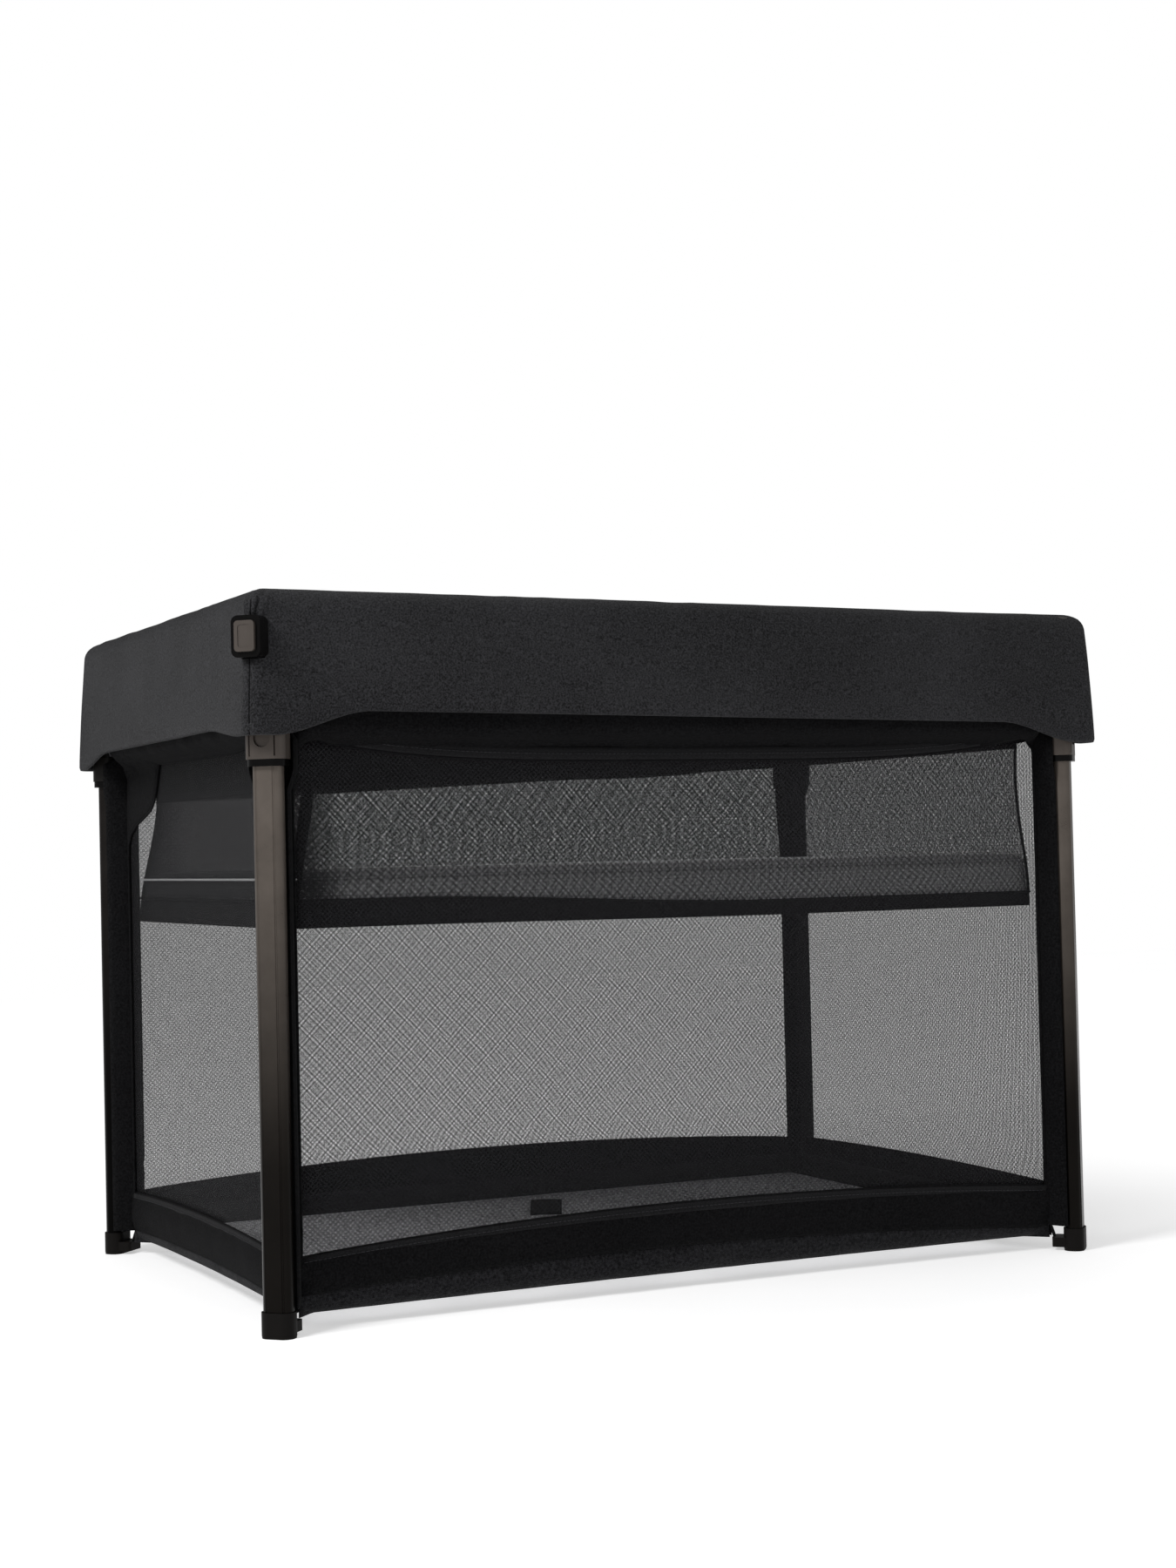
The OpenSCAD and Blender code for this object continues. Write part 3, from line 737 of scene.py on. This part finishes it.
def make_corner_strips():
    """The cloth turns the corner in a pocket round the back of each leg, and a tab ties it to the foot."""
    slider_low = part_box("collar_fl")[0].z
    for side, (body, _, n) in SIDES.items():
        corner = body[-2:]
        inward = -(n + SIDES[BEFORE[side]][2]).normalized()
        across = Vector((-inward.y, inward.x, 0))
        middle = centre(body)
        path, round_slider = (half + [(a, -b) for a, b in half[-2::-1]] for half in (POCKET, ROUND_SLIDER))
        grid = []
        for (a, b), (aw, bw) in zip(path, round_slider):
            row = []
            for z in np.linspace(wall_z0 - 3 * MM, WALL_TOP - 4 * MM, 60):
                wide = smooth(slider_low - 24 * MM, slider_low - 4 * MM, z)
                free = smooth(band_z + 1 * MM, band_z + 7 * MM, z)
                a2, b2 = a + (aw - a) * wide, b + (bw - b) * wide
                a2 += (max(a2, 27) - a2) * free
                b2 += (math.copysign(min(abs(b2), 10), b2) - b2) * free
                p = middle + inward * a2 * MM + across * b2 * MM
                low = 1 - smooth(wall_z0, wall_z0 + 0.09, z)
                fine = ripple((p.x * 3, p.y * 3, z), 0.018, 5.0) * low
                crumple = (0.3 * ripple((p.x, p.y, z), 0.06, 2.0) + fine) * 1.4 * MM * smooth(12, 24, a)
                q = p + inward * crumple
                row.append((q.x, q.y, z))
            grid.append(row)
        strip = closed_sheet(f"corner_{corner}_pocket", grid, 1.0 * MM, MAT["black"])
        tab = []
        foot_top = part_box(f"foot_{corner}")[1].z
        for k in range(9):
            t = k / 8
            z = foot_top - 12 * MM + (wall_z0 + 14 * MM - foot_top) * t + 3 * MM * math.sin(math.pi * t)
            p = middle + inward * (23 + 9 * t) * MM
            tab.append([(*(p + across * w * 7 * MM).xy, z) for w in (-1, -0.5, 0, 0.5, 1)])
        tab_piece = closed_sheet(f"corner_{corner}_tab", tab, 1.2 * MM, MAT["strap"])
        for piece in (strip, tab_piece):
            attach(piece, body)


# ---------------- soft boards
def soft_board(name, lo, hi, r, mat, sag=0.0, wave=0.0, seed=0.0, nx=46, ny=30):
    """A padded board: rounded in plan and at its edges, slightly crowned, with a wavy underside."""
    hx, hy, t = (hi[0] - lo[0]) / 2, (hi[1] - lo[1]) / 2, hi[2] - lo[2]
    c = Vector(((lo[0] + hi[0]) / 2, (lo[1] + hi[1]) / 2, (lo[2] + hi[2]) / 2))
    edge = min(t * 0.48, 8 * MM)
    levels = []     # height and loop of points, from the middle of the underside to the middle of the top
    for turn in range(-90, 91, 30):
        a = math.radians(turn)
        inset = edge * (1 - math.cos(a))
        z = math.copysign(t / 2 - edge, a) + edge * math.sin(a) if turn else 0.0
        levels.append((z, rounded_loop(hx - inset, hy - inset, max(r - inset, 2 * MM), nx, ny, 5)))
    caps = [rounded_loop((hx - edge) * f, (hy - edge) * f, r * 0.5 * f, nx, ny, 5) for f in (0.35, 0.7)]
    levels = [(-t / 2, loop) for loop in caps] + levels + [(t / 2, loop) for loop in caps[::-1]]
    verts, faces = [], []
    for z, loop in levels:
        for x, y in loop:
            far = max(abs(x) / hx, abs(y) / hy)
            if z < 0:
                lift = wave * (0.5 + 0.5 * ripple((x, y, 0), 0.09, seed)) * smooth(0.3, 1.0, far)
                zz = z - sag * (1 - far ** 2) + lift
            else:
                zz = z - 0.6 * MM * far ** 4
            verts.append((c.x + x, c.y + y, c.z + zz))
    n = len(caps[0])
    last = len(verts) - n
    for first in range(0, last, n):
        for a, b in ((first + i, first + (i + 1) % n) for i in range(n)):
            faces.append((a, b, b + n, a + n))
    for first in (0, last):
        ring = verts[first:first + n]
        faces += [(first + i, first + (i + 1) % n, len(verts)) for i in range(n)]
        verts.append(tuple(sum((Vector(v) for v in ring), Vector()) / n))
    return new_object(name, verts, faces, mat)


def make_floor():
    tuck = 8 * MM
    for which in ("front", "rear"):
        lo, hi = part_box(f"floor_{which}")
        lo = (lo.x + tuck, lo.y + (tuck if which == "front" else 0), lo.z)
        hi = (hi.x - tuck, hi.y - (tuck if which == "rear" else 0), hi.z)
        pad = soft_board(f"floor_{which}_pad", lo, hi, 16 * MM, MAT["floor"], sag=0.5 * MM, wave=2.0 * MM,
                         seed=2.0 if which == "front" else 6.0)
        fold_with_floor(pad, f"floor_{which}")
        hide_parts(f"floor_{which}")


def make_floor_strap():
    """The pull strap lies slanted on the rear floor panel, sewn down at both ends."""
    lo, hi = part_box("floor_strap")
    middle = (lo + hi) / 2
    slant = math.radians(25)
    length, width = 130 * MM, 39 * MM
    along = Vector((math.sin(slant), math.cos(slant), 0))
    across = Vector((along.y, -along.x, 0))
    grid = []
    for k in range(15):
        t = k / 14 - 0.5
        rise = 5 * MM * (0.25 - t * t) * 4 + 0.5 * MM
        row = []
        for w in np.linspace(-0.5, 0.5, 7):
            p = middle + along * t * length + across * w * width
            row.append((p.x, p.y, lo.z + rise + 0.5 * MM * math.cos(math.pi * w)))
        grid.append(row)
    strap = closed_sheet("floor_strap_webbing", grid[::-1], 1.6 * MM, MAT["strap"])
    fold_with_floor(strap, "floor_rear")
    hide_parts("floor_strap")


# ---------------- bassinet
RING = (56, 36, 8)      # points along each side, end and corner


def bassinet_rise(x):
    """The seam between skirt and net climbs towards the left end."""
    return smooth(0.1, -0.35, x)


def bassinet_size(z):
    """Half sizes and corner radius of the bassinet at a height: wide at the mattress, drawn in above it."""
    up = z - bass_lo.z
    narrow_x = 17 * MM * smooth(0.0, 0.16, up) - 6 * MM * smooth(0.17, 0.25, up)
    narrow_y = 5 * MM * smooth(0.03, 0.12, up) - 3 * MM * smooth(0.15, 0.25, up)
    return bass_hi.x - 1 * MM - narrow_x, bass_hi.y - 0.5 * MM - narrow_y, 25 * MM


def bassinet_shift(z):
    """The cloth hangs from the band, so its left end leans in more than its right end."""
    return 6 * MM * smooth(0.0, 0.16, z - bass_lo.z)


def bassinet_ring(name, z0, z1, rows, thick, mat, proud=0.0, wavy=0.0):
    """A closed band of cloth round the bassinet between two heights, which may vary with x."""
    low, high = (v if callable(v) else (lambda x, v=v: v) for v in (z0, z1))
    grid = []
    for i in range(len(rounded_loop(1, 1, 0.1, *RING))):
        row = []
        guess = rounded_loop(*bassinet_size(high(0)), *RING)[i]
        a, b = low(guess[0]), high(guess[0])
        for k in range(rows):
            z = a + (b - a) * k / (rows - 1)
            hx, hy, r = bassinet_size(z)
            x, y = rounded_loop(hx + proud, hy + proud, r, *RING)[i]
            d = Vector((x, y, 0)).normalized() * wavy * ripple((x, y, z), 0.08, 4.0)
            row.append((x + d.x + bassinet_shift(z), y + d.y, z))
        grid.append(row)
    return closed_sheet(name, grid, thick, mat, wrap=True)


def make_bassinet():
    base = bass_lo.z
    z_net0 = lambda x: base + 13 * MM + 15 * MM * bassinet_rise(x)
    z_net1 = lambda x: base + 166 * MM + 20 * MM * x / bass_hi.x
    z_top, z_liner = base + 247 * MM, mat_hi.z - 9 * MM
    skirt = bassinet_ring("bassinet_skirt", lambda x: base + 3 * MM * bassinet_rise(x),
                          lambda x: z_net0(x) + 3 * MM, 6, 2.0 * MM, MAT["black"], 0.4 * MM, 0.8 * MM)
    net = bassinet_ring("bassinet_net", z_net0, lambda x: z_net1(x) + 4 * MM, 18, 0.5 * MM, MAT["net"])
    top = bassinet_ring("bassinet_top_strip", z_net1, z_top, 12, 1.4 * MM, MAT["black"], 0.8 * MM, 0.8 * MM)
    liner = bassinet_ring("bassinet_liner", base + 11 * MM, z_liner, 7, 1.2 * MM, MAT["mattress"], -2.4 * MM)
    pieces = [skirt, net, top, liner]
    for sx in (-1, 1):
        for sy in (-1, 1):
            grid, z0, z1 = [], z_net0(sx * bass_hi.x) + 2 * MM, z_net1(sx * bass_hi.x) + 6 * MM
            for z in np.linspace(z0, z1, 14):
                hx, hy, r = bassinet_size(z)
                out = r + 1.1 * MM
                angles = [math.radians(turn) for turn in (29, 37, 45, 53, 61)]
                row = [(sx * (hx - r + out * math.cos(a)) + bassinet_shift(z),
                        sy * (hy - r + out * math.sin(a)), z) for a in angles]
                grid.append(row[::-1] if sx * sy > 0 else row)
            corner = ("f" if sy < 0 else "r") + ("l" if sx < 0 else "r")
            tape = closed_sheet(f"bassinet_seam_{corner}", grid, 1.0 * MM, MAT["black"])
            pieces.append(tape)
    hx, hy, r = bassinet_size(base + 16 * MM)
    loop = rounded_loop(hx + 0.6 * MM, hy + 0.6 * MM, r, *RING)
    line = [(x, y, z_net0(x) + 3 * MM) for x, y in loop]
    pieces.append(new_object("bassinet_piping", *tube_mesh(line, 1.4 * MM, closed=True), MAT["black"]))
    plate_lo = (bass_lo.x + 3 * MM, bass_lo.y + 3 * MM, base + 11 * MM)
    plate_hi = (bass_hi.x - 3 * MM, bass_hi.y - 3 * MM, mat_lo.z - 0.2 * MM)
    plate = soft_board("bassinet_base", plate_lo, plate_hi, 20 * MM, MAT["mattress"])
    pieces.append(plate)
    for p in pieces:
        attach(p, "bassinet")
    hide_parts("bassinet")


# ---------------- mattress
def evaluated_mesh(o):
    return bpy.data.meshes.new_from_object(o.evaluated_get(bpy.context.evaluated_depsgraph_get()))


def swollen(o, cap, frames=20, pressure=4.0, voxel=0.005):
    """Blows the pad up a little with cloth simulation, and keeps every point within cap of where it was."""
    scene = bpy.context.scene
    remesh = o.modifiers.new("remesh", "REMESH")
    remesh.mode = "VOXEL"
    remesh.voxel_size = voxel
    bpy.context.view_layer.update()
    mesh = evaluated_mesh(o)
    o.modifiers.clear()
    o.data = mesh
    before = np.array([v.co for v in mesh.vertices], float)
    cloth = o.modifiers.new("cloth", "CLOTH")
    cloth.settings.use_pressure = True
    cloth.settings.uniform_pressure_force = pressure
    cloth.settings.effector_weights.gravity = 0
    cloth.point_cache.frame_start, cloth.point_cache.frame_end = 1, frames
    for f in range(1, frames + 1):
        scene.frame_set(f)
    after_mesh = evaluated_mesh(o)
    after = np.array([v.co for v in after_mesh.vertices], float)
    o.modifiers.clear()
    scene.frame_set(1)
    move = after - before
    size = np.linalg.norm(move, axis=1, keepdims=True)
    move *= np.minimum(1, cap / np.maximum(size, 1e-9))
    after_mesh.vertices.foreach_set("co", (before + move).astype(np.float32).ravel())
    o.data = after_mesh


def make_mattress():
    for i in range(1, 5):
        lo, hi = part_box(f"mattress_{i}")
        lo = (lo[0] + 0.5 * MM, lo[1] + 2.0 * MM, lo[2] + 1.8 * MM)
        hi = (hi[0] - 0.5 * MM, hi[1] - 2.0 * MM, hi[2] - 1.8 * MM)
        r = (16 if i in (1, 4) else 9) * MM
        pad = soft_board(f"mattress_{i}_pad", lo, hi, r, MAT["mattress"], nx=20, ny=44)
        swollen(pad, 2.4 * MM)
        pad.data.materials.clear()
        pad.data.materials.append(MAT["mattress"])
        sub = pad.modifiers.new("smooth", "SUBSURF")
        sub.levels = sub.render_levels = 1
        pad.data.polygons.foreach_set("use_smooth", [True] * len(pad.data.polygons))
        c = centre(f"mattress_{i}")
        hx, hy = (hi[0] - lo[0]) / 2 + 0.6 * MM, (hi[1] - lo[1]) / 2 + 0.8 * MM
        line = [(c.x + x, c.y + y, hi[2] - 6 * MM) for x, y in rounded_loop(hx, hy, 12 * MM, 20, 44, 6)]
        piping = new_object(f"mattress_{i}_piping", *tube_mesh(line, 1.3 * MM, closed=True), MAT["mattress"])
        for p in (pad, piping):
            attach(p, f"mattress_{i}")
        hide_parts(f"mattress_{i}")


# ---------------- CAD nodes keep their shape and get materials
def smooth_by_angle(limit):
    """A geometry node group that shades faces smoothly and keeps every edge above the limit sharp."""
    group = bpy.data.node_groups.new("smooth_by_angle", "GeometryNodeTree")
    group.interface.new_socket("Geometry", in_out="INPUT", socket_type="NodeSocketGeometry")
    group.interface.new_socket("Geometry", in_out="OUTPUT", socket_type="NodeSocketGeometry")
    g = Graph(group)
    start = g.add("NodeGroupInput")
    angle = g.add("GeometryNodeInputMeshEdgeAngle").outputs["Unsigned Angle"]
    sharp = g.add("FunctionNodeCompare", {0: angle, 1: limit}, operation="GREATER_THAN").outputs[0]
    faces = g.add("GeometryNodeSetShadeSmooth", {"Geometry": start.outputs[0]}, domain="FACE")
    inputs = {"Geometry": faces.outputs[0], "Selection": sharp, "Shade Smooth": False}
    edges = g.add("GeometryNodeSetShadeSmooth", inputs, domain="EDGE")
    g.add("NodeGroupOutput", {0: edges.outputs[0]})
    return group


# painted shade: rear legs and rear sliders take the darker, shaded copies
CAD_LOOK = {"leg_r": "shaded_rear_leg", "leg_": "leg", "foot_": "foot", "housing_": "housing",
            "slider_r": "shaded_rear_bracket", "slider_": "bracket", "collar_": "black_plastic",
            "bezel_": "black_plastic", "button_": "button"}


def paint_cad():
    """Gives each rigid CAD node its material, softened edges and smooth round faces."""
    rounded = smooth_by_angle(math.radians(30))
    for name, o in frame["nodes"].items():
        key = next((look for start, look in CAD_LOOK.items() if name.startswith(start)), None)
        key = key or ("bar" if "_bar_" in name else None)
        if key:
            for s in o.material_slots:
                s.material = MAT[key]
            soften = o.modifiers.new("soft_edges", "BEVEL")
            soften.width = (1.6 if name.startswith(("bezel_", "button_")) else 0.7) * MM
            soften.segments = 3
            soften.limit_method = "ANGLE"
            soften.angle_limit = math.radians(40)
            o.modifiers.new("smooth_shading", "NODES").node_group = rounded


# ---------------- floor, light and camera
ROOM_LIGHT = 0.33
GLOW = (0.45, 0.70)         # the ground's own light: dimmer near the object, as a painted shadow, and full far from it
GLOW_FROM, GLOW_TO = 0.45, 1.15
CAMERA_AT = (-1.262, -2.672, 0.477)
YAW, PITCH_UP, ROLL = math.radians(25.6), math.radians(1.6), math.radians(-1.34)
LENS, SENSOR = 56.3, 36


def make_ground():
    bpy.ops.mesh.primitive_plane_add(size=12, location=(0, 0, 0))
    ground = bpy.context.object
    ground.name = "ground"
    m, g, shader = material("ground_paint")
    # painted shadow: the ground glows less near the object than far from it
    far = g.add("ShaderNodeVectorMath", {0: g.coords()}, operation="LENGTH").outputs["Value"]
    g.feed(shader, {
        "Base Color": g.ramp(g.noise(3.0), (0.3, (0.86, 0.86, 0.865)), (0.7, (0.9, 0.9, 0.9))),
        "Roughness": 0.9, "Specular IOR Level": 0.1, "Emission Color": (1, 1, 1, 1),
        "Emission Strength": g.map_range(far, GLOW_FROM, GLOW_TO, *GLOW, "SMOOTHSTEP")})
    ground.data.materials.append(m)


def area_light(name, at, aim, size, power, **settings):
    light = bpy.data.lights.new(name, "AREA")
    light.size, light.energy = size, power
    for key, value in settings.items():
        setattr(light, key, value)
    o = linked(name, light)
    o.location = at
    o.rotation_euler = (Vector(aim) - Vector(at)).to_track_quat("-Z", "Y").to_euler()
    o.visible_camera = False


def make_light():
    world = bpy.data.worlds.new("studio")
    bpy.context.scene.world = world
    world.use_nodes = True
    g = Graph(world.node_tree)
    seen = g.add("ShaderNodeLightPath").outputs["Is Camera Ray"]
    strength = g.map_range(seen, 0.0, 1.0, ROOM_LIGHT, 1.0)
    g.feed(g.nodes["Background"], {"Color": (1, 1, 1, 1), "Strength": strength})
    area_light("left_key", (-2.1, -0.9, 2.0), (-0.4, 0, 0.68), 0.8, 46, shape="RECTANGLE", size_y=0.8)
    area_light("front_fill", (0.9, -2.6, 1.9), (0.1, 0, 0.6), 1.5, 9)
    bpy.context.scene.cycles.transparent_max_bounces = 32


def make_camera():
    """Stands low off the near left corner; the sensor is the photograph's frame."""
    cam = bpy.data.cameras.new("camera")
    cam.sensor_fit = "VERTICAL"
    cam.sensor_height = SENSOR
    cam.lens = LENS
    o = linked("camera", cam)
    flat = math.cos(PITCH_UP)
    forward = Vector((math.sin(YAW) * flat, math.cos(YAW) * flat, math.sin(PITCH_UP)))
    level = Vector((math.cos(YAW), -math.sin(YAW), 0))
    upright = level.cross(forward)
    right = math.cos(ROLL) * level + math.sin(ROLL) * upright
    up = math.cos(ROLL) * upright - math.sin(ROLL) * level
    turned = Matrix((right, up, -forward)).transposed().to_4x4()
    o.matrix_world = Matrix.Translation(CAMERA_AT) @ turned
    bpy.context.scene.camera = o
    bpy.context.scene.view_settings.view_transform = "Standard"


make_camera()
make_ground()
make_light()
paint_cad()
make_bands()
make_walls()
make_corner_strips()
make_floor()
make_floor_strap()
make_bassinet()
make_mattress()
